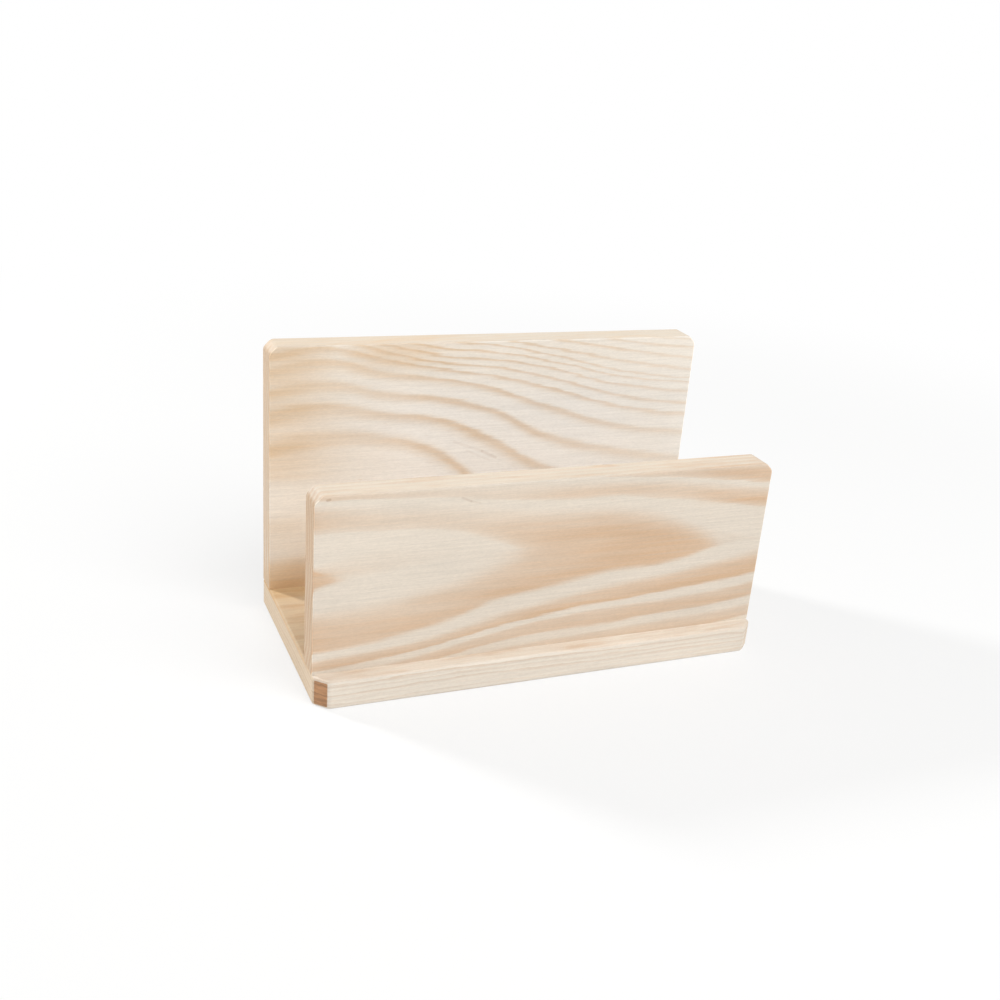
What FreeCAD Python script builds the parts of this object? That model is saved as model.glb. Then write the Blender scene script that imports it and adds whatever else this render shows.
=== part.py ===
import FreeCAD, Part
import os

# A napkin holder in bare pine, open at the top and at both ends. A front board and a taller back
# board stand on a base board. Each is glued to it and held by countersunk wood screws that come
# up from the underside, so no fixing shows on the faces.
#
# Millimetres. X runs along the boards, Y to the back and Z up. The origin is the middle of the
# base board's underside, on the surface that the holder stands on.

# Boards
board_length = 160.0
base_depth = 77.0
base_thickness = 10.0
front_height = 60.0
front_thickness = 10.0
back_height = 88.0
back_thickness = 10.0

# The base shows in front of the front board by this much. The back board is flush with its rear.
front_ledge = 5.7

# Each free corner is clipped at 45 degrees, and the clip runs into the edges with a radius. The
# base's clips are wide and flat. The standing boards' top corners are small and nearly round.
base_corner_cut = 4.2
base_corner_radius = 2.4
top_corner_cut = 2.6
top_corner_radius = 2.5

# Every sharp edge that isn't a glue line is sanded to a radius, the base's more than the others'.
base_edge_radius = 1.0
edge_radius = 0.5

# Countersunk wood screws, with a head of 90 degrees and a cross recess
screws_per_board = 2
screw_end_distance = 32.0
screw_length = 25.0
screw_diameter = 3.0
screw_point_length = 4.0
screw_tip_diameter = 0.4
head_diameter = 6.0
head_rim = 0.3
recess_width = 3.0
recess_slot = 0.8
recess_depth = 1.5
recess_bottom_width = 1.4
recess_bottom_slot = 0.5

# Holes for the screws
head_sink = 0.5
head_clearance = 0.05
shank_clearance = 0.25
thread_clearance = 0.05
pilot_run_out = 2.0
drill_point_length = 0.9

# Places worked out from the sizes
half_length = board_length / 2
half_depth = base_depth / 2
front_board_y = -half_depth + front_ledge + front_thickness / 2
back_board_y = half_depth - back_thickness / 2
head_radius = head_diameter / 2
shank_radius = screw_diameter / 2
screw_tip_z = head_sink + screw_length

# How far from a line a place may lie and still count as on it
TOLERANCE = 0.001

ORIGIN = FreeCAD.Vector(0, 0, 0)
RIGHT = FreeCAD.Vector(1, 0, 0)
UP = FreeCAD.Vector(0, 0, 1)


def at(x, y, z=0.0):
    return FreeCAD.Vector(x, y, z)


def face_through(points):
    """A flat face inside a closed outline of straight lines."""
    return Part.Face(Part.makePolygon(points + points[:1]))


def lies_on_near_edge(edge):
    return edge.BoundBox.YMax < TOLERANCE


def runs_through_board(edge):
    return edge.BoundBox.ZLength > TOLERANCE


def flat_board(width, thickness, corner_cut, corner_radius):
    """A board on its back, its near edge along X at y = 0 and its two far corners clipped."""
    outline = [
        at(-half_length, 0),
        at(half_length, 0),
        at(half_length, width - corner_cut),
        at(half_length - corner_cut, width),
        at(corner_cut - half_length, width),
        at(-half_length, width - corner_cut),
    ]
    board = face_through(outline).extrude(UP * thickness)
    clip_edges = [e for e in board.Edges if runs_through_board(e) and not lies_on_near_edge(e)]
    return board.makeFillet(corner_radius, clip_edges)


def sand(board, radius, near_edge_is_glued):
    """Round a flat board's sharp edges, leaving those of a glued near edge as they were sawn."""
    around_faces = [e for e in board.Edges if not runs_through_board(e) and not lies_on_near_edge(e)]
    near_edges = [e for e in board.Edges if lies_on_near_edge(e)]
    return board.makeFillet(radius, around_faces + ([] if near_edge_is_glued else near_edges))


def screw_places(board_y):
    """Where one board's screws stand, spread evenly along it."""
    reach = half_length - screw_end_distance
    step = 2 * reach / (screws_per_board - 1)
    return [at(-reach + index * step, board_y) for index in range(screws_per_board)]


def screw_hole(place):
    """The countersunk hole that a screw passes through in the base."""
    hole_radius = shank_radius + shank_clearance
    mouth_radius = head_radius + head_clearance + head_rim + head_sink
    hole = Part.makeCylinder(hole_radius, base_thickness, place, UP)
    countersink = Part.makeCone(mouth_radius, hole_radius, mouth_radius - hole_radius, place, UP)
    return hole.fuse(countersink)


def pilot_hole(place):
    """The blind hole that a screw bites into, up from the glued edge of a standing board."""
    radius = shank_radius + thread_clearance
    depth = screw_tip_z + pilot_run_out - base_thickness
    hole = Part.makeCylinder(radius, depth, place + UP * base_thickness, UP)
    drill_point = Part.makeCone(radius, 0, drill_point_length, place + UP * (base_thickness + depth), UP)
    return hole.fuse(drill_point)


def base_board():
    board = flat_board(base_depth, base_thickness, base_corner_cut, base_corner_radius)
    board = sand(board, base_edge_radius, near_edge_is_glued=False)
    board.rotate(ORIGIN, UP, 180)
    board.translate(at(0, half_depth))
    holes = [screw_hole(place) for place in screw_places(front_board_y) + screw_places(back_board_y)]
    return board.cut(holes)


def standing_board(height, thickness, board_y):
    """A board that stands on the base, with its glued edge down."""
    board = flat_board(height, thickness, top_corner_cut, top_corner_radius)
    board = sand(board, edge_radius, near_edge_is_glued=True)
    board.rotate(ORIGIN, RIGHT, 90)
    board.translate(at(0, board_y + thickness / 2, base_thickness))
    return board.cut([pilot_hole(place) for place in screw_places(board_y)])


def cross_outline(width, slot, z):
    """A plus sign of the given width, with arms as wide as the slot."""
    reach = width / 2
    half = slot / 2
    corner = [(reach, -half), (reach, half), (half, half)]
    points = []
    for turn in range(4):
        for x, y in corner:
            points.append(at(x, y, z))
        corner = [(-y, x) for x, y in corner]
    return Part.makePolygon(points + points[:1])


def cross_recess():
    """The tapered recess for a cross-head screwdriver, up into the head's flat."""
    mouth = cross_outline(recess_width, recess_slot, head_sink)
    bottom = cross_outline(recess_bottom_width, recess_bottom_slot, head_sink + recess_depth)
    return Part.makeLoft([mouth, bottom], True, True)


def screw():
    """A wood screw on the Z axis with its head down, head_sink above the base's underside."""
    neck_z = head_sink + head_rim + head_radius - shank_radius
    profile = [
        at(0, 0, head_sink),
        at(head_radius, 0, head_sink),
        at(head_radius, 0, head_sink + head_rim),
        at(shank_radius, 0, neck_z),
        at(shank_radius, 0, screw_tip_z - screw_point_length),
        at(screw_tip_diameter / 2, 0, screw_tip_z),
        at(0, 0, screw_tip_z),
    ]
    return face_through(profile).revolve(ORIGIN, UP, 360).cut(cross_recess())


def screw_row(board_y):
    """One board's screws, each a solid of its own."""
    row = []
    for place in screw_places(board_y):
        row.append(screw().translated(place))
    return Part.makeCompound(row)


nodes = {
    "base_board": base_board(),
    "front_board": standing_board(front_height, front_thickness, front_board_y),
    "back_board": standing_board(back_height, back_thickness, back_board_y),
    "front_screws": screw_row(front_board_y),
    "back_screws": screw_row(back_board_y),
}

os.makedirs("parts", exist_ok=True)
for name, shape in nodes.items():
    shape.exportStep(f"parts/{name}.step")
    box = shape.BoundBox
    print(f"{name}: {box.XLength:.2f} x {box.YLength:.2f} x {box.ZLength:.2f} mm, "
          f"{len(shape.Solids)} solid(s), {shape.Volume:.0f} mm3, valid {shape.isValid()}")
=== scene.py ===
import math

import bmesh
import bpy
from mathutils import Matrix, Vector

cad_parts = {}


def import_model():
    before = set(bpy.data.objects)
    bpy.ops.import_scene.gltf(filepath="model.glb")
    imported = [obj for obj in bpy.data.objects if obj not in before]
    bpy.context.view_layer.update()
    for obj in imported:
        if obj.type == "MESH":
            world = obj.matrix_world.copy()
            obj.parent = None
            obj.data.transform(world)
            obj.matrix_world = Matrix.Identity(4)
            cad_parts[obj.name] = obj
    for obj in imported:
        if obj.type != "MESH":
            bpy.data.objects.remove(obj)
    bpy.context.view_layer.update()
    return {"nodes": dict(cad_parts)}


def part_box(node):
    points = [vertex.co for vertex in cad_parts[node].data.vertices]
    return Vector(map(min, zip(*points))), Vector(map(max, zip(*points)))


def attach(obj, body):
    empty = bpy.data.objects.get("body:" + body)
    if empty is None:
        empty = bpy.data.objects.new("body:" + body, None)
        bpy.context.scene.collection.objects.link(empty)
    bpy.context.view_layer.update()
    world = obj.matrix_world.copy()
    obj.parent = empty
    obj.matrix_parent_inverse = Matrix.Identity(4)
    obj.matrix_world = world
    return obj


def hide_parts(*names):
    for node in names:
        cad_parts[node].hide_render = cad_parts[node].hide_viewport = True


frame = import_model()

MM = 0.001

# Camera, in metres. Its place, direction and roll were worked out from the object's edges.
CAMERA_PLACE = Vector((-0.1643, -0.3643, 0.2110))
CAMERA_FORWARD = Vector((0.3912, 0.8278, -0.4020))
CAMERA_RIGHT = Vector((0.9163, -0.3912, 0.0860))
CAMERA_LENS_MM = 44.79
CAMERA_SENSOR_MM = 36.0
CAMERA_SHIFT = (-0.0348, 0.0384)
CAMERA_SEES_FROM = 0.01

# Lamps: the direction each one shines from, its distance, width and power
KEY_FROM = Vector((-0.56, 0.63, 0.50))
KEY_DISTANCE = 1.6
KEY_WIDTH = 0.22
KEY_POWER = 16.0
FILL_FROM = Vector((0.23, -0.60, 0.77))
FILL_DISTANCE = 1.6
FILL_WIDTH = 1.4
FILL_POWER = 23.5
WORLD_LIGHT = 0.22
WHITE = (1.0, 1.0, 1.0, 1.0)

# Floor
FLOOR_HALF_WIDTH = 12.0
FLOOR_COLOUR = (0.85, 0.85, 0.84, 1.0)
FLOOR_GLOW_SHARE = 0.68
FLOOR_FADES_FROM = 0.25
FLOOR_FADES_TO = 0.60

# The boards' places, read from the frame, in metres
BASE_LOW, BASE_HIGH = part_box("base_board")
FRONT_LOW, FRONT_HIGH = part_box("front_board")
BACK_LOW, BACK_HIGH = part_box("back_board")
BOARD_LENGTH_MM = (BASE_HIGH.x - BASE_LOW.x) / MM
BACK_HEIGHT_MM = (BACK_HIGH.z - BACK_LOW.z) / MM

# Wood colours, in linear light: early wood is the pale part of a year's ring and late wood the tan
FRONT_EARLY = (0.750, 0.668, 0.570, 1.0)
FRONT_LATE = (0.650, 0.446, 0.288, 1.0)
BACK_EARLY = (0.875, 0.815, 0.730, 1.0)
BACK_WHITEST = (0.955, 0.925, 0.875, 1.0)
BACK_LATE = (0.735, 0.552, 0.370, 1.0)
BASE_EARLY = (0.790, 0.715, 0.620, 1.0)
BASE_LATE = (0.630, 0.448, 0.303, 1.0)
EDGE_EARLY = (0.735, 0.650, 0.540, 1.0)
# What painted shade multiplies the colour by
PAINTED_SHADE_TINT = (0.88, 0.70, 0.46, 1.0)
STROKE_COLOUR = (0.330, 0.180, 0.090, 1.0)
SCORCH_COLOUR = (0.450, 0.240, 0.122)

# Each board's early wood on its faces, early wood on its ends and top, and late wood. On the back
# board the ends and top are darker than its faces: the end grain's own colour on the ends, and on the
# top painted shade that holds back the lamps' light
FRONT_COLOURS = (FRONT_EARLY, EDGE_EARLY, FRONT_LATE)
BACK_COLOURS = (BACK_EARLY, EDGE_EARLY, BACK_LATE)
BASE_COLOURS = (BASE_EARLY, BASE_EARLY, BASE_LATE)

# What each board's colour is multiplied by on its ends, in early wood and in late wood
FRONT_END_TONES = ((0.99, 0.875, 0.76, 1.0), (0.815, 0.66, 0.525, 1.0))
BACK_END_TONES = ((1.08, 1.08, 1.10, 1.0), (0.89, 0.82, 0.77, 1.0))
BASE_END_TONES = ((1.05, 0.96, 0.845, 1.0), (0.88, 0.75, 0.59, 1.0))

# How strongly each board's rings show on its ends, on its sides and on its top
FRONT_RINGS_SHOW = (0.6, 1.0, 0.5)
BACK_RINGS_SHOW = (1.0, 1.0, 0.35)
BASE_RINGS_SHOW = (0.3, 0.37, 0.27)

# A face counts as an end, a side or a top from the first of these slopes, and fully at the second
FACING = (0.55, 0.95)

# Noises: the cells per metre along X, Y and Z, the detail and the roughness
STREAKS = (45.0, 1500.0, 1500.0, 3.0, 0.6)
HAIRS = (160.0, 5200.0, 5200.0, 3.0, 0.6)
BANDS = (13.0, 330.0, 330.0, 3.0, 0.6)
MOTTLE = (22.0, 70.0, 70.0, 3.0, 0.55)
SPECKS = (900.0, 3000.0, 3000.0, 1.0, 0.5)
BLOTCHES = (55.0, 260.0, 260.0, 2.0, 0.6)
FLECKS = (240.0, 3800.0, 3800.0, 1.0, 0.5)
PORES = (300.0, 2200.0, 2200.0, 2.0, 0.6)
ROUGH_LINES = (70.0, 900.0, 900.0, 2.0, 0.6)
BASE_SWELL = (9.0, 26.0, 26.0, 1.0, 0.5)
BASE_UNEVEN = (5.0, 5.0, 420.0, 1.0, 0.5)
SCORCH_UNEVEN = (150.0, 150.0, 640.0, 2.0, 0.6)
ZINC_CLOUDS = (900.0, 900.0, 900.0, 3.0, 0.6)
TURNING_MARKS = (2500.0, 2500.0, 9000.0, 2.0, 0.5)

# How far a slow wave moves the grain lines along X, Y and Z, and how far a quick one lifts them on
# a board's faces and on its ends
WAVE_CELLS = (18.0, 60.0, 60.0)
WAVE_DETAIL = 3.0
WAVE_REACH = (2.0 * MM, 0.5 * MM, 1.5 * MM)
ROUGH_REACH = (0.9 * MM, 0.25 * MM)

# Streaks and bands make the rings ragged by these shares, round this middle
RAGGED_BY_STREAKS = 0.4
RAGGED_BY_BANDS = 0.9
RAGGED_MIDDLE = 0.65

# What the colour is multiplied by where each noise is low and where it is high
NOISE_SPREAD = (0.25, 0.75)
STREAK_SHADES = (0.93, 1.05)
HAIR_SHADES = (0.96, 1.03)
SPECK_SHADES = (0.955, 1.035)
MOTTLE_SHADES = (0.96, 1.03)

# Tan blotches on the tops, resin flecks, and on the ends the pores' and the late wood's darkness
BLOTCHES_FROM_TO = (0.48, 0.72)
BLOTCH_STRENGTH = 0.45
FLECKS_FROM_TO = (0.74, 0.80)
FLECK_STRENGTH = 0.30
PORES_FROM_TO = (0.3, 0.7)
PORE_DARKNESS = 0.6
LATE_DARKNESS = 0.5

# The upright edges are paler, over this range of slopes and by this factor: sanded paleness, and a
# painted highlight where the lamps leave the rounded edges in shade
EDGE_SLOPES = (0.2, 0.6)
EDGE_PALENESS_AND_HIGHLIGHT = 1.38

# The wood's relief, in metres, and its gloss
LATE_RELIEF = 0.030 * MM
STREAK_RELIEF = 0.030 * MM
HAIR_RELIEF = 0.012 * MM
WOOD_BUMP = 0.6
EARLY_ROUGHNESS = 0.66
LATE_ROUGHNESS = 0.54
WOOD_SPECULAR = 0.35

# Rings per metre from a standing board's face into it, and up through the base
FRONT_RINGS_INWARD = -350.0
BACK_RINGS_INWARD = 300.0
BASE_RINGS_UPWARD = 590.0

# Curve nodes take numbers from 0 to 1, so the heights in mm and the flame's ring numbers are
# stretched from these ranges
HEIGHT_RANGE = (-40.0, 120.0)
FLAME_RANGE = (-0.5, 1.5)

# How far along the board each column of ring heights stands, from its left end, in mm
BACK_STATIONS = (0, 20, 40, 60, 80, 100, 130, 160)
FRONT_STATIONS = (0, 20, 40, 60, 80, 100, 120, 140, 160)

# Back board, inner face: how far below the top edge the tan line of each ring runs, in mm
BACK_RINGS = (
    (-12, (-29, -29, -23, -18.5, -14, -10, -2, 1.3)),
    (-11, (-23, -23, -17, -12.5, -9, -5, 1.0, 4.3)),
    (-10, (-17, -17, -11, -6.5, -4, -0.5, 4.4, 8.4)),
    (-9, (-14, -14, -8, -3.5, -0.5, 3, 8.7, 12.9)),
    (-8, (-11, -11, -5, -0.5, 1.5, 5.5, 12.5, 16.3)),
    (-7, (-8, -8, -2, 2.2, 4, 7.8, 14.4, 17.9)),
    (-6, (-5, -5, 0.5, 4.7, 6.9, 10.4, 17.6, 21.4)),
    (-5, (-1, -2, 3, 7.2, 9.5, 13.8, 22, 26.5)),
    (-4, (3, 1.2, 5.8, 9.5, 12.7, 17.5, 26.2, 30.5)),
    (-3, (8.5, 6, 10.7, 13.3, 17.4, 24.6, 33.7, 38)),
    (-2, (16, 13.8, 18, 20.5, 25.5, 35.5, 43.5, 49)),
    (-1, (23.5, 21.5, 25.2, 28, 36.5, 48, 58, 64)),
    (0, (35, 32.5, 34, 40.5, 56, 66, 76, 84)),
    (0.4, (40, 37, 38.7, 46, 62, 72, 82, 90)),
    (0.65, (74, 72, 74, 79, 89, 99, 109, 112)),
    (1, (86, 84, 86, 91, 101, 111, 119, 120)),
)

# Front board, front face: the same below and above the pale middle of the long flame. Whole
# numbers are the outer edge of a ring and halves are where its late wood begins. Above, a ring's
# soft outer edge has faded away at 0.36 past it.
FRONT_RINGS_BELOW = (
    (0, (31.6, 26, 22, 18, 16, 15, 15, 11, 3)),
    (0.5, (40.5, 40.5, 35.5, 29.8, 24, 22, 22, 19, 9)),
    (1, (52.4, 51.4, 48.4, 41.9, 38.6, 35.3, 34.4, 30.2, 24)),
    (1.5, (55.5, 54.4, 52.2, 47.6, 44.2, 41.1, 39.3, 37, 34.6)),
    (2, (58.9, 57.5, 55.1, 51.2, 48.4, 46.4, 45, 43.8, 41.6)),
    (2.5, (63, 60.5, 57.4, 53.3, 50.2, 49, 48.3, 47.7, 45.2)),
    (3, (68, 64.5, 60.9, 57.2, 55.6, 54.8, 53.6, 52.9, 50.8)),
    (3.5, (71, 67, 63.5, 60.2, 58.4, 57.6, 56.6, 56, 54)),
    (4, (76, 72, 68.5, 65, 63, 62, 61.3, 60.6, 58.2)),
)
FRONT_RINGS_ABOVE = (
    (0, (23.6, 28, 32, 36, 40, 40, 40, 46, 56)),
    (0.36, (22.2, 18, 19, 24, 31.4, 33.5, 35, 40.2, 50.2)),
    (0.5, (12.5, 12.5, 14, 19.3, 28, 31, 33, 38, 48)),
    (1, (4.8, 7.2, 9.2, 11.8, 13.8, 15.1, 19.2, 26, 31)),
    (1.36, (2.5, 3.7, 4.9, 7.5, 9.2, 9.6, 14.2, 22.3, 27.5)),
    (1.5, (1.6, 2.4, 3.2, 5.8, 7.4, 7.3, 10.1, 12.8, 16.2)),
    (2, (0, 0.4, 1, 2.6, 3.3, 3.6, 5.2, 8.2, 10)),
    (2.5, (-3, -3, -2.5, -1.5, -0.5, 0.5, 2.3, 4.7, 6.5)),
    (3, (-6, -6, -5.5, -4, -3, -2.5, -1.2, 0, 1)),
)
# The ring number along the flame's own middle line
FRONT_FLAME = (-0.14, 0.07, 0.22, 0.38, 0.66, 0.82, 0.89, 0.94, 1.06)

# Late wood's share across a ring, from its inner edge at 0 to its outer edge at 1
BACK_LINE = ((0, 0), (0.24, 0), (0.41, 0.72), (0.5, 1), (0.59, 0.72), (0.74, 0.16), (0.88, 0), (1, 0))
BACK_BROAD_LINE = (
    (0, 0.05), (0.15, 0.1), (0.38, 0.75), (0.5, 1), (0.66, 0.85), (0.84, 0.35), (1, 0.05),
)
FRONT_SHARP_RING = (
    (0, 0.1), (0.07, 0), (0.3, 0), (0.45, 0.3), (0.58, 0.7), (0.74, 0.84), (0.9, 1), (0.96, 0.5),
    (1, 0.1),
)
FRONT_SOFT_RING = (
    (0, 0.6), (0.12, 0.38), (0.25, 0.14), (0.36, 0), (0.46, 0), (0.52, 0.42), (0.6, 0.74),
    (0.74, 0.95), (0.88, 0.84), (1, 0.6),
)
BASE_RING = ((0, 0), (0.3, 0.05), (0.6, 0.5), (0.85, 1), (0.94, 1), (1, 0))

# How strong the flame is, and the lines along each board, from its left end at 0 to its right end
# at 1
FRONT_FLAME_STRENGTH = (
    (0, 0.95), (0.07, 0.84), (0.76, 0.84), (0.83, 0.8), (0.88, 0.55), (0.93, 0.12), (1, 0.1),
)
FRONT_BAND_STRENGTH = ((0, 0.85), (0.3, 0.82), (0.55, 0.9), (0.75, 0.98), (1, 1))
FRONT_UPPER_STRENGTH = (
    (0, 0.9), (0.1, 0.46), (0.3, 0.42), (0.42, 0.64), (0.55, 0.85), (0.8, 0.85), (0.87, 0.5),
    (0.91, 0.12), (1, 0.1),
)
FRONT_TOP_STRENGTH = (
    (0, 0.7), (0.1, 0.43), (0.3, 0.3), (0.55, 0.52), (0.75, 0.54), (0.9, 0.84), (1, 0.9),
)
BACK_LINE_STRENGTH = (
    (0, 1), (0.06, 0.85), (0.125, 0.6), (0.25, 0.52), (0.38, 0.72), (0.5, 0.64), (0.63, 0.58),
    (0.88, 0.4), (1, 0.38),
)

# The ring numbers over which the front board's lower lines meet its upper ones, the flame's
# strength gives way to the lower lines', these fade, and the upper lines give way to the top ones
FRONT_SIDES_MEET = (-0.07, 0.07)
FRONT_FLAME_ENDS = (0.95, 1.15)
FRONT_LOWER_FADES = (1.95, 3.6)
FRONT_LOWEST_STRENGTH = 0.6
FRONT_TOP_STARTS = (1.1, 1.4)

# The back board's lines are broad at its left and fine from the second share of its length on
BACK_LINES_NARROW = (0.1, 0.5)

# How tan the left end of the back board is, from its top at 0 to its foot at 1, and the shares of
# the board's length over which that fades
BACK_WASH = (
    (0, 1), (0.1, 1), (0.2, 0.75), (0.32, 0.75), (0.5, 0.72), (0.59, 0.1), (0.66, 0.12),
    (0.74, 0.5), (0.86, 0.12), (1, 0.4),
)
BACK_WASH_FADES = (0.02, 0.19)
BACK_WASH_STRENGTH = 0.66

# How tan its top edge is from left to right, the depths in mm over which that fades, and how much
# darker it makes the lines
BACK_TOP_WASH = (
    (0, 0), (0.1, 0.05), (0.19, 0.38), (0.26, 0.56), (0.34, 0.34), (0.43, 0.04), (1, 0),
)
BACK_TOP_WASH_FADES = (3.0, 14.0)
BACK_TOP_LINES = 1.9

# The base's rings swell by this many, and are fainter and stronger in places
BASE_SWELL_RINGS = 1.8
BASE_UNEVEN_FROM_TO = (0.35, 0.65)
BASE_UNEVEN_STRENGTHS = (0.3, 1.25)

# Dark marks in the wood: the two ends of each, in mm, its half width in mm and its strength
FRONT_MARKS = (
    ((-76.0, -32.8, 68.7), (-75.2, -32.8, 68.85), 0.60, 0.37),
    ((-33.5, -32.8, 66.2), (-30.5, -32.8, 64.8), 0.55, 0.18),
    ((-30.5, -32.8, 64.8), (-27.5, -32.8, 64.0), 0.50, 0.13),
    ((61.0, -32.8, 42.4), (68.0, -32.8, 42.7), 2.50, 0.06),
)
BACK_MARKS = (
    ((-14.0, 28.5, 61.4), (-3.0, 28.5, 57.2), 0.80, 0.09),
    ((-3.0, 28.5, 57.2), (2.5, 28.5, 54.4), 0.75, 0.16),
    ((-9.0, 28.5, 57.8), (0.0, 28.5, 53.6), 0.60, 0.07),
)
MARK_CORE_SHARE = 0.3

# Painted light: a paler patch painted on the back board's inner face where the lamps light it too
# little. Where it fades in from the left, partly out to the right, in below the top, in above the
# foot, and out into the board, in metres
PAINTED_LIGHT_LEFT = (-65.0 * MM, -25.0 * MM)
PAINTED_LIGHT_RIGHT = (30.0 * MM, 75.0 * MM)
PAINTED_LIGHT_RIGHT_SHARE = 0.4
PAINTED_LIGHT_TOP = (93.0 * MM, 70.0 * MM)
PAINTED_LIGHT_FOOT = (20.0 * MM, 40.0 * MM)
PAINTED_LIGHT_DEPTH = (BACK_LOW.y + 2.0 * MM, BACK_LOW.y + 8.0 * MM)

# Painted shade, darker and more orange: up the back board's foot, and on the base's top between the
# standing boards and close in front of the back one
ORANGE_FOOT = (BACK_LOW.z + 12.0 * MM, BACK_LOW.z + 2.0 * MM)
ORANGE_FOOT_SHARE = 0.37
ORANGE_INSIDE = (FRONT_LOW.y, FRONT_HIGH.y)
ORANGE_INSIDE_SHARE = 0.72
ORANGE_REAR = (BACK_LOW.y - 13.0 * MM, BACK_LOW.y - 2.0 * MM)
ORANGE_REAR_SHARE = 0.28
ORANGE_TOP = (BASE_HIGH.z - 1.2 * MM, BASE_HIGH.z - 0.6 * MM)

# The browned clip: how squarely its face looks to the front left, how far it reaches from the
# corner, and what its stripes and its unevenness multiply the colour by
SCORCH_FACING = (0.975, 0.995)
SCORCH_REACH = (9.0 * MM, 7.0 * MM)
SCORCH_STRIPES = (1.2, 0.88)
SCORCH_UNEVEN_FROM_TO = (0.3, 0.7)
SCORCH_UNEVEN_SHADES = (0.82, 1.18)

# Zinc plate
ZINC_BRIGHT = (0.63, 0.62, 0.57, 1.0)
ZINC_DULL = (0.44, 0.43, 0.41, 1.0)
ZINC_DULL_FROM_TO = (0.35, 0.7)
ZINC_MARKS_FROM_TO = (0.3, 0.7)
ZINC_ROUGHNESSES = (0.26, 0.42)
ZINC_RELIEF = 0.01 * MM
ZINC_BUMP = 0.4

# Screws, in metres
HEAD_RADIUS = 3.0 * MM
HEAD_RIM = 0.3 * MM
HEAD_SOFTENING = 0.08 * MM
NECK_FILLET = 0.15 * MM
SHANK_RADIUS = 1.5 * MM
SMOOTH_SHANK = 0.86
CORE_RADIUS = 1.0 * MM
TIP_RADIUS = 0.12 * MM
SCREW_LENGTH = 25.0 * MM
POINT_LENGTH = 4.0 * MM
THREAD_START = 7.5 * MM
THREAD_PITCH = 1.35 * MM
THREAD_HALF_WIDTH = 0.24
RINGS_PER_TURN = 10
SCREW_SIDES = 32
RECESS_WIDTH = 3.0 * MM
RECESS_SLOT = 0.8 * MM
RECESS_DEPTH = 1.5 * MM
RECESS_BOTTOM_WIDTH = 1.4 * MM
RECESS_BOTTOM_SLOT = 0.5 * MM


class Graph:
    """Adds nodes to a material and wires them. Inputs are numbers, colours or other nodes' outputs."""

    def __init__(self, name):
        self.material = bpy.data.materials.new(name)
        self.material.use_nodes = True
        self.tree = self.material.node_tree
        self.tree.nodes.clear()

    def feed(self, socket, value):
        if isinstance(value, bpy.types.NodeSocket):
            self.tree.links.new(value, socket)
        else:
            socket.default_value = value

    def node(self, kind, *inputs, **settings):
        node = self.tree.nodes.new("ShaderNode" + kind)
        for name, value in settings.items():
            setattr(node, name, value)
        for socket, value in zip(node.inputs, inputs):
            self.feed(socket, value)
        return node

    def math(self, operation, *inputs):
        return self.node("Math", *inputs, operation=operation).outputs[0]

    def plus(self, first, second):
        return self.math("ADD", first, second)

    def minus(self, first, second):
        return self.math("SUBTRACT", first, second)

    def times(self, first, second):
        return self.math("MULTIPLY", first, second)

    def scale(self, value, low, high, to_low=0.0, to_high=1.0, smooth=False, clamp=True):
        """Map low..high to to_low..to_high."""
        kind = "SMOOTHSTEP" if smooth else "LINEAR"
        inputs = (value, low, high, to_low, to_high)
        node = self.node("MapRange", *inputs, interpolation_type=kind, clamp=clamp)
        return node.outputs[0]

    def curve(self, value, points):
        """A smooth curve through (input, output) points, all from 0 to 1."""
        node = self.node("FloatCurve", 1.0, value)
        line = node.mapping.curves[0]
        line.points[0].location = points[0]
        line.points[-1].location = points[-1]
        for point in points[1:-1]:
            line.points.new(*point)
        node.mapping.update()
        return node.outputs[0]

    def noise_node(self, place, cells, detail, roughness):
        """A noise with the given cells per metre along X, Y and Z."""
        node = self.node("TexNoise", noise_dimensions="3D")
        self.feed(node.inputs["Vector"], self.stretch(place, cells))
        node.inputs["Scale"].default_value = 1.0
        node.inputs["Detail"].default_value = detail
        node.inputs["Roughness"].default_value = roughness
        return node

    def noise(self, place, kind):
        """One of the noises that are listed at the top, from 0 to 1."""
        *cells, detail, roughness = kind
        return self.noise_node(place, cells, detail, roughness).outputs["Fac"]

    def mix(self, share, first, second, blend="MIX"):
        node = self.node("Mix", data_type="RGBA", blend_type=blend)
        self.feed(node.inputs[0], share)
        self.feed(node.inputs[6], first)
        self.feed(node.inputs[7], second)
        return node.outputs[2]

    def blend(self, share, first, second):
        """The same for two numbers."""
        node = self.node("Mix", data_type="FLOAT")
        self.feed(node.inputs[0], share)
        self.feed(node.inputs[2], first)
        self.feed(node.inputs[3], second)
        return node.outputs[0]

    def stretch(self, place, factors):
        """A place with each axis scaled by its own number."""
        return self.node("VectorMath", place, tuple(factors), operation="MULTIPLY").outputs[0]

    def shift(self, place, offset):
        return self.node("VectorMath", place, offset, operation="ADD").outputs[0]

    def brighten(self, vector, factor):
        """A colour or a vector times one number."""
        node = self.node("VectorMath", vector, operation="SCALE")
        self.feed(node.inputs["Scale"], factor)
        return node.outputs[0]

    def split(self, vector):
        return self.node("SeparateXYZ", vector).outputs[:3]

    def finish(self, colour, roughness, relief, bump_strength, plain_name, plain_value):
        """Join a colour, a roughness, a relief in metres and one plain number to the surface."""
        bump = self.node("Bump")
        bump.inputs["Strength"].default_value = bump_strength
        bump.inputs["Distance"].default_value = 1.0
        self.feed(bump.inputs["Height"], relief)
        shader = self.node("BsdfPrincipled")
        self.feed(shader.inputs["Base Color"], colour)
        self.feed(shader.inputs["Roughness"], roughness)
        self.feed(shader.inputs["Normal"], bump.outputs[0])
        shader.inputs[plain_name].default_value = plain_value
        self.node("OutputMaterial", shader.outputs[0])
        return self.material


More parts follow.
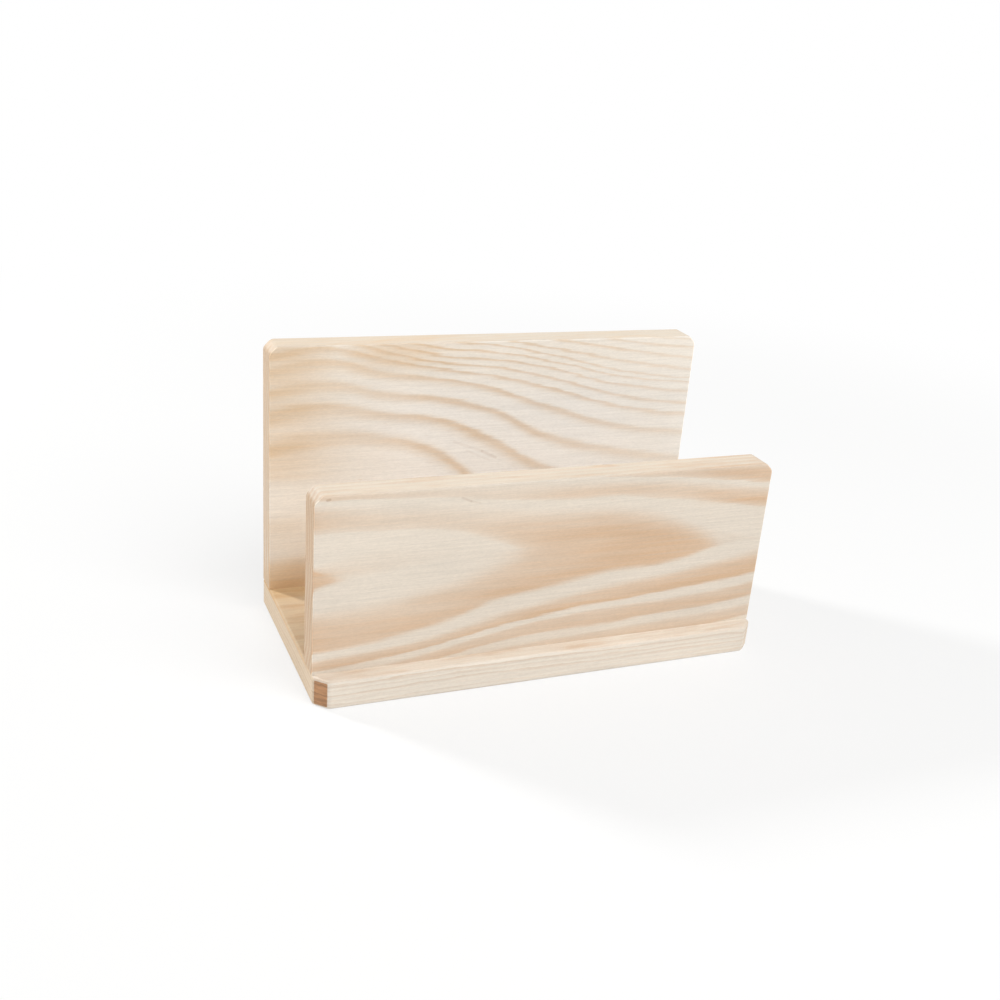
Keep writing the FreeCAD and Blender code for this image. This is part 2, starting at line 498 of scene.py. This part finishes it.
def wavy_place(graph, place, on_end):
    """The point on the board, nudged so that no grain line runs too evenly."""
    wave = graph.noise_node(place, WAVE_CELLS, WAVE_DETAIL, 0.5)
    centred = graph.shift(wave.outputs["Color"], (-0.5, -0.5, -0.5))
    moved = graph.shift(place, graph.stretch(centred, WAVE_REACH))
    rough = graph.scale(graph.noise(place, ROUGH_LINES), 0.0, 1.0, -1.0, 1.0)
    reach = graph.scale(on_end, 0.0, 1.0, *ROUGH_REACH)
    rise = graph.node("CombineXYZ", 0.0, 0.0, graph.times(rough, reach)).outputs[0]
    return graph.shift(moved, rise)


def station_curve(graph, along, stations, values, low, high):
    """A smooth curve along the board, through a value from low to high at each station."""
    points = []
    for station, value in zip(stations, values):
        points.append((station / BOARD_LENGTH_MM, (value - low) / (high - low)))
    return graph.scale(graph.curve(along, points), 0.0, 1.0, low, high)


def ring_number(graph, along, below_top, stations, lines):
    """How many rings a point lies past ring 0, between the lines drawn for some ring numbers."""
    numbers = [number for number, line in lines]
    heights = [station_curve(graph, along, stations, line, *HEIGHT_RANGE) for number, line in lines]
    total = numbers[0]
    last = len(lines) - 2
    for index in range(len(lines) - 1):
        step = numbers[index + 1] - numbers[index]
        part = graph.scale(below_top, heights[index], heights[index + 1], 0.0, step, clamp=False)
        if index > 0:
            part = graph.math("MAXIMUM", part, 0.0)
        if index < last:
            part = graph.math("MINIMUM", part, step)
        total = graph.plus(part, total)
    return total


def board_coordinates(graph, moved, top, face_y):
    """Share of the way along a standing board, mm below its top and metres in from its face."""
    x, y, z = graph.split(moved)
    along = graph.scale(x, BASE_LOW.x, BASE_HIGH.x)
    below_top = graph.times(graph.minus(top, z), 1 / MM)
    inward = graph.minus(y, face_y)
    return along, below_top, inward


def back_tan(graph, along, below_top):
    """How tan the back board is between its lines, at its top edge and at its left end."""
    near_top = graph.scale(below_top, *BACK_TOP_WASH_FADES, 1.0, 0.0, smooth=True)
    top_wash = graph.times(near_top, graph.curve(along, BACK_TOP_WASH))
    near_left = graph.scale(along, *BACK_WASH_FADES, BACK_WASH_STRENGTH, 0.0, smooth=True)
    down = graph.scale(below_top, 0.0, BACK_HEIGHT_MM)
    left_wash = graph.times(near_left, graph.curve(down, BACK_WASH))
    return top_wash, left_wash


def back_late_wood(graph, moved):
    """How much late wood shows on the back board, from 0 to 1: soft lines down each ring's middle."""
    along, below_top, inward = board_coordinates(graph, moved, BACK_HIGH.z, BACK_LOW.y)
    ring = ring_number(graph, along, below_top, BACK_STATIONS, BACK_RINGS)
    ring = graph.plus(ring, graph.times(inward, BACK_RINGS_INWARD))
    part = graph.math("FRACT", graph.plus(ring, 0.5))
    narrow = graph.scale(along, *BACK_LINES_NARROW, smooth=True)
    line = graph.blend(narrow, graph.curve(part, BACK_BROAD_LINE), graph.curve(part, BACK_LINE))
    line = graph.times(line, graph.curve(along, BACK_LINE_STRENGTH))
    top_wash, left_wash = back_tan(graph, along, below_top)
    line = graph.times(line, graph.scale(top_wash, 0.0, 1.0, 1.0, BACK_TOP_LINES))
    wash = graph.math("MAXIMUM", left_wash, top_wash)
    return graph.plus(line, graph.times(graph.minus(1.0, line), wash))


def front_late_wood(graph, moved):
    """How much late wood shows on the front board: the long flame and the rings round it."""
    along, below_top, inward = board_coordinates(graph, moved, FRONT_HIGH.z, FRONT_LOW.y)
    below = ring_number(graph, along, below_top, FRONT_STATIONS, FRONT_RINGS_BELOW)
    above = ring_number(graph, along, below_top, FRONT_STATIONS, FRONT_RINGS_ABOVE)
    flame = station_curve(graph, along, FRONT_STATIONS, FRONT_FLAME, *FLAME_RANGE)
    lower = graph.math("MAXIMUM", below, flame)
    on_upper_side = graph.scale(graph.minus(above, lower), *FRONT_SIDES_MEET, smooth=True)
    depth = graph.times(inward, FRONT_RINGS_INWARD)
    lower_part = graph.math("FRACT", graph.plus(lower, depth))
    upper_part = graph.math("FRACT", graph.plus(above, depth))

    bands = graph.curve(along, FRONT_BAND_STRENGTH)
    inside = graph.curve(along, FRONT_FLAME_STRENGTH)
    lower_strength = graph.blend(graph.scale(below, *FRONT_FLAME_ENDS), inside, bands)
    fading = graph.scale(below, *FRONT_LOWER_FADES, 1.0, FRONT_LOWEST_STRENGTH)
    lower_strength = graph.times(lower_strength, fading)
    sharp = graph.times(graph.curve(lower_part, FRONT_SHARP_RING), lower_strength)

    inner = graph.curve(along, FRONT_UPPER_STRENGTH)
    outer = graph.curve(along, FRONT_TOP_STRENGTH)
    upper_strength = graph.blend(graph.scale(above, *FRONT_TOP_STARTS), inner, outer)
    soft = graph.times(graph.curve(upper_part, FRONT_SOFT_RING), upper_strength)
    return graph.blend(on_upper_side, sharp, soft)


def base_late_wood(graph, moved):
    """The base's rings lie nearly flat, so its edges show fine lines and its top broad ones."""
    swell = graph.times(graph.noise(moved, BASE_SWELL), BASE_SWELL_RINGS)
    rise = graph.times(graph.split(moved)[2], BASE_RINGS_UPWARD)
    late = graph.curve(graph.math("FRACT", graph.plus(rise, swell)), BASE_RING)
    uneven = graph.noise(moved, BASE_UNEVEN)
    return graph.times(late, graph.scale(uneven, *BASE_UNEVEN_FROM_TO, *BASE_UNEVEN_STRENGTHS))


def shown_late_wood(graph, place, rings, masks, rings_show, streaks):
    """The rings as each kind of face shows them, ragged along the fibres and blotched on the top."""
    late = rings
    for mask, strength in zip(masks, rings_show):
        late = graph.times(late, graph.scale(mask, 0.0, 1.0, 1.0, strength))
    bands = graph.noise(place, BANDS)
    both = graph.plus(graph.times(streaks, RAGGED_BY_STREAKS), graph.times(bands, RAGGED_BY_BANDS))
    late = graph.plus(late, graph.times(graph.minus(both, RAGGED_MIDDLE), late))
    blotches = graph.noise(place, BLOTCHES)
    blotches = graph.scale(blotches, *BLOTCHES_FROM_TO, 0.0, BLOTCH_STRENGTH)
    on_top = masks[2]
    return graph.plus(late, graph.times(blotches, on_top))


def shade(graph, colour, place, streaks, hairs):
    """Lighten and darken the wood a little along its fibres, in specks and in patches."""
    noises = (streaks, hairs, graph.noise(place, SPECKS), graph.noise(place, MOTTLE))
    ranges = (STREAK_SHADES, HAIR_SHADES, SPECK_SHADES, MOTTLE_SHADES)
    for noise, shades in zip(noises, ranges):
        colour = graph.brighten(colour, graph.scale(noise, *NOISE_SPREAD, *shades))
    return colour


def add_end_grain(graph, colour, place, late, on_end, end_tones):
    """The ends are darker, most of all in their pores and in the late wood."""
    pores = graph.scale(graph.noise(place, PORES), *PORES_FROM_TO, 0.0, PORE_DARKNESS)
    darkness = graph.plus(pores, graph.times(late, LATE_DARKNESS))
    tone = graph.mix(darkness, *end_tones)
    return graph.mix(on_end, colour, tone, "MULTIPLY")


def lighten_edges(graph, colour, slopes):
    """The rounded upright edges, paler from sanding and from a painted highlight."""
    on_edge = graph.math("MINIMUM", slopes[0], slopes[1])
    return graph.brighten(colour, graph.scale(on_edge, *EDGE_SLOPES, 1.0, EDGE_PALENESS_AND_HIGHLIGHT, smooth=True))


def pine(name, late_wood, colours, end_tones, rings_show, marks=(), pale_patch=None, painted_shade=None,
         scorched=False, pale_highlit_edges=False):
    """Bare sanded pine, with rings, fibres, resin flecks, darker end grain and a slight relief."""
    graph = Graph(name)
    normal = graph.node("TexCoord").outputs["Normal"]
    place = graph.node("TexCoord").outputs["Object"]
    slopes = [graph.math("ABSOLUTE", part) for part in graph.split(normal)]
    masks = [graph.scale(slope, *FACING, smooth=True) for slope in slopes]
    on_end, on_side, on_top = masks
    rings = late_wood(graph, wavy_place(graph, place, on_end))
    streaks = graph.noise(place, STREAKS)
    hairs = graph.noise(place, HAIRS)
    late = shown_late_wood(graph, place, rings, masks, rings_show, streaks)

    early_colour, edge_colour, late_colour = colours
    early = early_colour
    if pale_patch:
        # The pale patch is painted light: a lighter zone in place of light the face doesn't get
        early = graph.mix(pale_patch(graph, place), early, BACK_WHITEST)
    # Darker early wood on ends and tops: end grain's colour, and on the back board's top painted shade
    early = graph.mix(graph.math("MAXIMUM", on_end, on_top), early, edge_colour)
    colour = graph.mix(late, early, late_colour)
    if painted_shade:
        # Painted shade, darker and more orange where the boards shade each other
        colour = graph.mix(painted_shade(graph, place), colour, PAINTED_SHADE_TINT, "MULTIPLY")
    colour = shade(graph, colour, place, streaks, hairs)
    flecks = graph.noise(place, FLECKS)
    flecks = graph.scale(flecks, *FLECKS_FROM_TO, 0.0, FLECK_STRENGTH, smooth=True)
    colour = graph.mix(flecks, colour, late_colour)
    colour = add_end_grain(graph, colour, place, late, on_end, end_tones)
    # Sanded paleness and a painted highlight on the upright edges
    if pale_highlit_edges:
        colour = lighten_edges(graph, colour, slopes)
    colour = add_strokes(graph, colour, place, marks)
    if scorched:
        colour = add_scorch(graph, colour, place, normal, rings)

    relief = graph.plus(graph.times(late, LATE_RELIEF), graph.times(streaks, STREAK_RELIEF))
    relief = graph.plus(relief, graph.times(hairs, HAIR_RELIEF))
    roughness = graph.scale(late, 0.0, 1.0, EARLY_ROUGHNESS, LATE_ROUGHNESS)
    return graph.finish(colour, roughness, relief, WOOD_BUMP, "Specular IOR Level", WOOD_SPECULAR)


def stroke(graph, place, start, end, half_width):
    """A mask for one short dark stroke between two points, all in mm."""
    start = Vector(start) * MM
    run = Vector(end) * MM - start
    offset = graph.shift(place, tuple(-start))
    per_run = tuple(run / run.length_squared)
    dot = graph.node("VectorMath", offset, per_run, operation="DOT_PRODUCT").outputs["Value"]
    nearest = graph.brighten(tuple(run), graph.scale(dot, 0.0, 1.0))
    gap = graph.node("VectorMath", offset, nearest, operation="SUBTRACT").outputs[0]
    distance = graph.node("VectorMath", gap, operation="LENGTH").outputs["Value"]
    reach = half_width * MM
    return graph.scale(distance, MARK_CORE_SHARE * reach, reach, 1.0, 0.0, smooth=True)


def add_strokes(graph, colour, place, strokes):
    """Small dark marks in the wood: resin flecks, a speck and fine checks."""
    for start, end, half_width, strength in strokes:
        mask = graph.times(stroke(graph, place, start, end, half_width), strength)
        colour = graph.mix(mask, colour, STROKE_COLOUR)
    return colour


def painted_light_patch(graph, place):
    """Painted light: the back board's inner face is painted whitest right of its left end and below
    its top.
    """
    x, y, z = graph.split(place)
    patch = graph.scale(x, *PAINTED_LIGHT_LEFT, smooth=True)
    patch = graph.times(patch, graph.scale(x, *PAINTED_LIGHT_RIGHT, 1.0, PAINTED_LIGHT_RIGHT_SHARE, smooth=True))
    patch = graph.times(patch, graph.scale(y, *PAINTED_LIGHT_DEPTH, 1.0, 0.0))
    patch = graph.times(patch, graph.scale(z, *PAINTED_LIGHT_TOP, smooth=True))
    return graph.times(patch, graph.scale(z, *PAINTED_LIGHT_FOOT, smooth=True))


def painted_shade_foot(graph, place):
    """Painted shade: the back board is darker and more orange towards its foot."""
    z = graph.split(place)[2]
    return graph.scale(z, *ORANGE_FOOT, 0.0, ORANGE_FOOT_SHARE, smooth=True)


def painted_shade_inside(graph, place):
    """Painted shade: the base is darker and more orange inside the holder than on the ledge in front
    of it.
    """
    y, z = graph.split(place)[1:]
    inside = graph.scale(y, *ORANGE_INSIDE, 0.0, ORANGE_INSIDE_SHARE, smooth=True)
    rear = graph.scale(y, *ORANGE_REAR, 0.0, ORANGE_REAR_SHARE, smooth=True)
    return graph.times(graph.plus(inside, rear), graph.scale(z, *ORANGE_TOP))


def add_scorch(graph, colour, place, normal, rings):
    """The saw browned the clip across the base's front left corner."""
    x, y = graph.split(place)[:2]
    normal_x, normal_y = graph.split(normal)[:2]
    squarely = graph.times(graph.plus(normal_x, normal_y), -math.sqrt(0.5))
    on_clip = graph.scale(squarely, *SCORCH_FACING, smooth=True)
    from_corner = graph.plus(graph.minus(x, BASE_LOW.x), graph.minus(y, BASE_LOW.y))
    share = graph.times(on_clip, graph.scale(from_corner, *SCORCH_REACH))
    stripes = graph.scale(rings, 0.0, 1.0, *SCORCH_STRIPES)
    uneven = graph.noise(place, SCORCH_UNEVEN)
    stripes = graph.times(stripes, graph.scale(uneven, *SCORCH_UNEVEN_FROM_TO, *SCORCH_UNEVEN_SHADES))
    return graph.mix(share, colour, graph.brighten(SCORCH_COLOUR, stripes))


def zinc_steel():
    """Bright zinc plate with fine turning marks and a few dull spots."""
    graph = Graph("zinc_steel")
    place = graph.node("TexCoord").outputs["Object"]
    clouds = graph.scale(graph.noise(place, ZINC_CLOUDS), *ZINC_DULL_FROM_TO)
    colour = graph.mix(clouds, ZINC_BRIGHT, ZINC_DULL)
    marks = graph.noise(place, TURNING_MARKS)
    roughness = graph.scale(marks, *ZINC_MARKS_FROM_TO, *ZINC_ROUGHNESSES)
    relief = graph.times(marks, ZINC_RELIEF)
    return graph.finish(colour, roughness, relief, ZINC_BUMP, "Metallic", 1.0)


def ring_of(mesh, radius, z):
    """A closed ring of SCREW_SIDES points round the screw's axis. A radius may vary with the turn."""
    points = []
    for index in range(SCREW_SIDES):
        turn = 2 * math.pi * index / SCREW_SIDES
        reach = radius(turn) if callable(radius) else radius
        points.append(mesh.verts.new((reach * math.cos(turn), reach * math.sin(turn), z)))
    return points


def bridge(mesh, lower, upper):
    count = len(lower)
    for index in range(count):
        after = (index + 1) % count
        mesh.faces.new((lower[index], lower[after], upper[after], upper[index]))


def close_with(mesh, *loops):
    """Fill the flat region between closed loops of points."""
    edges = []
    for loop in loops:
        for index, point in enumerate(loop):
            after = loop[(index + 1) % len(loop)]
            edges.append(mesh.edges.get((point, after)) or mesh.edges.new((point, after)))
    bmesh.ops.triangle_fill(mesh, use_beauty=True, edges=edges)


def cross_loop(mesh, width, slot, z):
    """The outline of a cross recess, with arms as wide as the slot."""
    reach = width / 2
    half = slot / 2
    corner = [(reach, -half), (reach, half), (half, half)]
    points = []
    for quarter in range(4):
        for x, y in corner:
            points.append(mesh.verts.new((x, y, z)))
        corner = [(-y, x) for x, y in corner]
    return points


def thread_radius(z, thin):
    """The screw's radius at a height, for any turn round its axis: a core with a helical ridge."""
    core = CORE_RADIUS * thin
    crest = SHANK_RADIUS * thin

    def radius(turn):
        phase = (z / THREAD_PITCH - turn / (2 * math.pi)) % 1.0
        off_crest = abs(phase - 0.5) / THREAD_HALF_WIDTH
        return core + (crest - core) * max(0.0, 1.0 - off_crest)

    return radius


def screw_shell(mesh):
    """One wood screw on the Z axis, its head's flat at z = 0 and its point up."""
    flat = ring_of(mesh, HEAD_RADIUS - HEAD_SOFTENING, 0.0)
    mouth = cross_loop(mesh, RECESS_WIDTH, RECESS_SLOT, 0.0)
    bottom = cross_loop(mesh, RECESS_BOTTOM_WIDTH, RECESS_BOTTOM_SLOT, RECESS_DEPTH)
    close_with(mesh, flat, mouth)
    bridge(mesh, mouth, bottom)
    close_with(mesh, bottom)
    rings = [flat]
    rings.append(ring_of(mesh, HEAD_RADIUS, HEAD_SOFTENING))
    rings.append(ring_of(mesh, HEAD_RADIUS, HEAD_RIM))
    neck = HEAD_RIM + HEAD_RADIUS - SHANK_RADIUS
    rings.append(ring_of(mesh, SHANK_RADIUS + NECK_FILLET, neck - NECK_FILLET))
    rings.append(ring_of(mesh, SHANK_RADIUS * SMOOTH_SHANK, neck + NECK_FILLET))
    rings.append(ring_of(mesh, SHANK_RADIUS * SMOOTH_SHANK, THREAD_START))
    steps = round((SCREW_LENGTH - THREAD_START) / THREAD_PITCH * RINGS_PER_TURN)
    for index in range(1, steps):
        z = THREAD_START + (SCREW_LENGTH - THREAD_START) * index / steps
        thin = min(1.0, (SCREW_LENGTH - z) / POINT_LENGTH)
        rings.append(ring_of(mesh, thread_radius(z, thin), z))
    tip = ring_of(mesh, TIP_RADIUS, SCREW_LENGTH)
    rings.append(tip)
    for lower, upper in zip(rings, rings[1:]):
        bridge(mesh, lower, upper)
    mesh.faces.new(tip)


def screw_pair(name, node_name, material):
    """Two detailed screws in place of a row of plain ones."""
    low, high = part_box(node_name)
    middle_y = (low.y + high.y) / 2
    mesh = bmesh.new()
    for x in (low.x + HEAD_RADIUS, high.x - HEAD_RADIUS):
        shell = bmesh.new()
        screw_shell(shell)
        shell.transform(Matrix.Translation((x, middle_y, low.z)))
        part = bpy.data.meshes.new("shell")
        shell.to_mesh(part)
        shell.free()
        mesh.from_mesh(part)
        bpy.data.meshes.remove(part)
    bmesh.ops.recalc_face_normals(mesh, faces=mesh.faces)
    data = bpy.data.meshes.new(name)
    mesh.to_mesh(data)
    mesh.free()
    data.materials.append(material)
    piece = bpy.data.objects.new(name, data)
    bpy.context.scene.collection.objects.link(piece)
    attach(piece, "root")
    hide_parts(node_name)


def dress(node_name, material):
    """Give a CAD node its material."""
    mesh = frame["nodes"][node_name].data
    mesh.materials.clear()
    mesh.materials.append(material)


def lamp(name, shines_from, distance, width, power):
    """A round lamp that shines at the origin."""
    light = bpy.data.lights.new(name, "AREA")
    light.shape = "DISK"
    light.size = width
    light.energy = power
    place = shines_from.normalized() * distance
    obj = bpy.data.objects.new(name, light)
    obj.location = place
    obj.rotation_euler = (-place).to_track_quat("-Z", "Y").to_euler()
    bpy.context.scene.collection.objects.link(obj)


def camera():
    data = bpy.data.cameras.new("camera")
    data.lens = CAMERA_LENS_MM
    data.sensor_width = CAMERA_SENSOR_MM
    data.sensor_fit = "HORIZONTAL"
    data.shift_x, data.shift_y = CAMERA_SHIFT
    data.clip_start = CAMERA_SEES_FROM
    back = -CAMERA_FORWARD.normalized()
    right = (CAMERA_RIGHT - back * CAMERA_RIGHT.dot(back)).normalized()
    up = back.cross(right)
    turn = Matrix((right, up, back)).transposed().to_4x4()
    obj = bpy.data.objects.new("camera", data)
    obj.matrix_world = Matrix.Translation(CAMERA_PLACE) @ turn
    bpy.context.scene.collection.objects.link(obj)
    bpy.context.scene.camera = obj


def seen_ray(graph):
    """1 for rays that show the background: from the camera, a reflection or clear glass."""
    path = graph.node("LightPath")
    seen = graph.math("MAXIMUM", path.outputs["Is Camera Ray"], path.outputs["Is Glossy Ray"])
    return graph.math("MAXIMUM", seen, path.outputs["Is Transmission Ray"])


def floor():
    """A pale floor that shows white in the picture and keeps the object's shadow."""
    graph = Graph("floor")
    paint = graph.node("BsdfDiffuse", FLOOR_COLOUR)
    glow = graph.node("Emission", WHITE, 1.0)
    place = graph.node("TexCoord").outputs["Object"]
    distance = graph.node("VectorMath", place, operation="LENGTH").outputs["Value"]
    fades = (FLOOR_FADES_FROM, FLOOR_FADES_TO)
    glow_share = graph.scale(distance, *fades, FLOOR_GLOW_SHARE, 1.0, smooth=True)
    share = graph.times(seen_ray(graph), glow_share)
    both = graph.node("MixShader", share, paint.outputs[0], glow.outputs[0])
    graph.node("OutputMaterial", both.outputs[0])
    mesh = bpy.data.meshes.new("floor")
    half = FLOOR_HALF_WIDTH
    corners = [(-half, -half, 0), (half, -half, 0), (half, half, 0), (-half, half, 0)]
    mesh.from_pydata(corners, [], [(0, 1, 2, 3)])
    mesh.materials.append(graph.material)
    obj = bpy.data.objects.new("floor", mesh)
    bpy.context.scene.collection.objects.link(obj)


def world():
    """Even light from all round, which shows as plain white."""
    scene_world = bpy.data.worlds.new("studio")
    scene_world.use_nodes = True
    tree = scene_world.node_tree
    background = tree.nodes["Background"]
    path = tree.nodes.new("ShaderNodeLightPath")
    seen = path.outputs["Is Camera Ray"]
    for name in ("Is Glossy Ray", "Is Transmission Ray"):
        either = tree.nodes.new("ShaderNodeMath")
        either.operation = "MAXIMUM"
        tree.links.new(seen, either.inputs[0])
        tree.links.new(path.outputs[name], either.inputs[1])
        seen = either.outputs[0]
    strength = tree.nodes.new("ShaderNodeMapRange")
    strength.inputs["To Min"].default_value = WORLD_LIGHT
    tree.links.new(seen, strength.inputs["Value"])
    tree.links.new(strength.outputs[0], background.inputs["Strength"])
    background.inputs["Color"].default_value = WHITE
    bpy.context.scene.world = scene_world


def dress_boards():
    front = pine("front_pine", front_late_wood, FRONT_COLOURS, FRONT_END_TONES, FRONT_RINGS_SHOW,
                 marks=FRONT_MARKS, pale_highlit_edges=True)
    back = pine("back_pine", back_late_wood, BACK_COLOURS, BACK_END_TONES, BACK_RINGS_SHOW,
                marks=BACK_MARKS, pale_patch=painted_light_patch, painted_shade=painted_shade_foot, pale_highlit_edges=True)
    base = pine("base_pine", base_late_wood, BASE_COLOURS, BASE_END_TONES, BASE_RINGS_SHOW,
                painted_shade=painted_shade_inside, scorched=True)
    dress("front_board", front)
    dress("back_board", back)
    dress("base_board", base)


dress_boards()
steel = zinc_steel()
screw_pair("front_screw_pair", "front_screws", steel)
screw_pair("back_screw_pair", "back_screws", steel)

camera()
lamp("key", KEY_FROM, KEY_DISTANCE, KEY_WIDTH, KEY_POWER)
lamp("fill", FILL_FROM, FILL_DISTANCE, FILL_WIDTH, FILL_POWER)
world()
floor()
bpy.context.scene.view_settings.view_transform = "Standard"
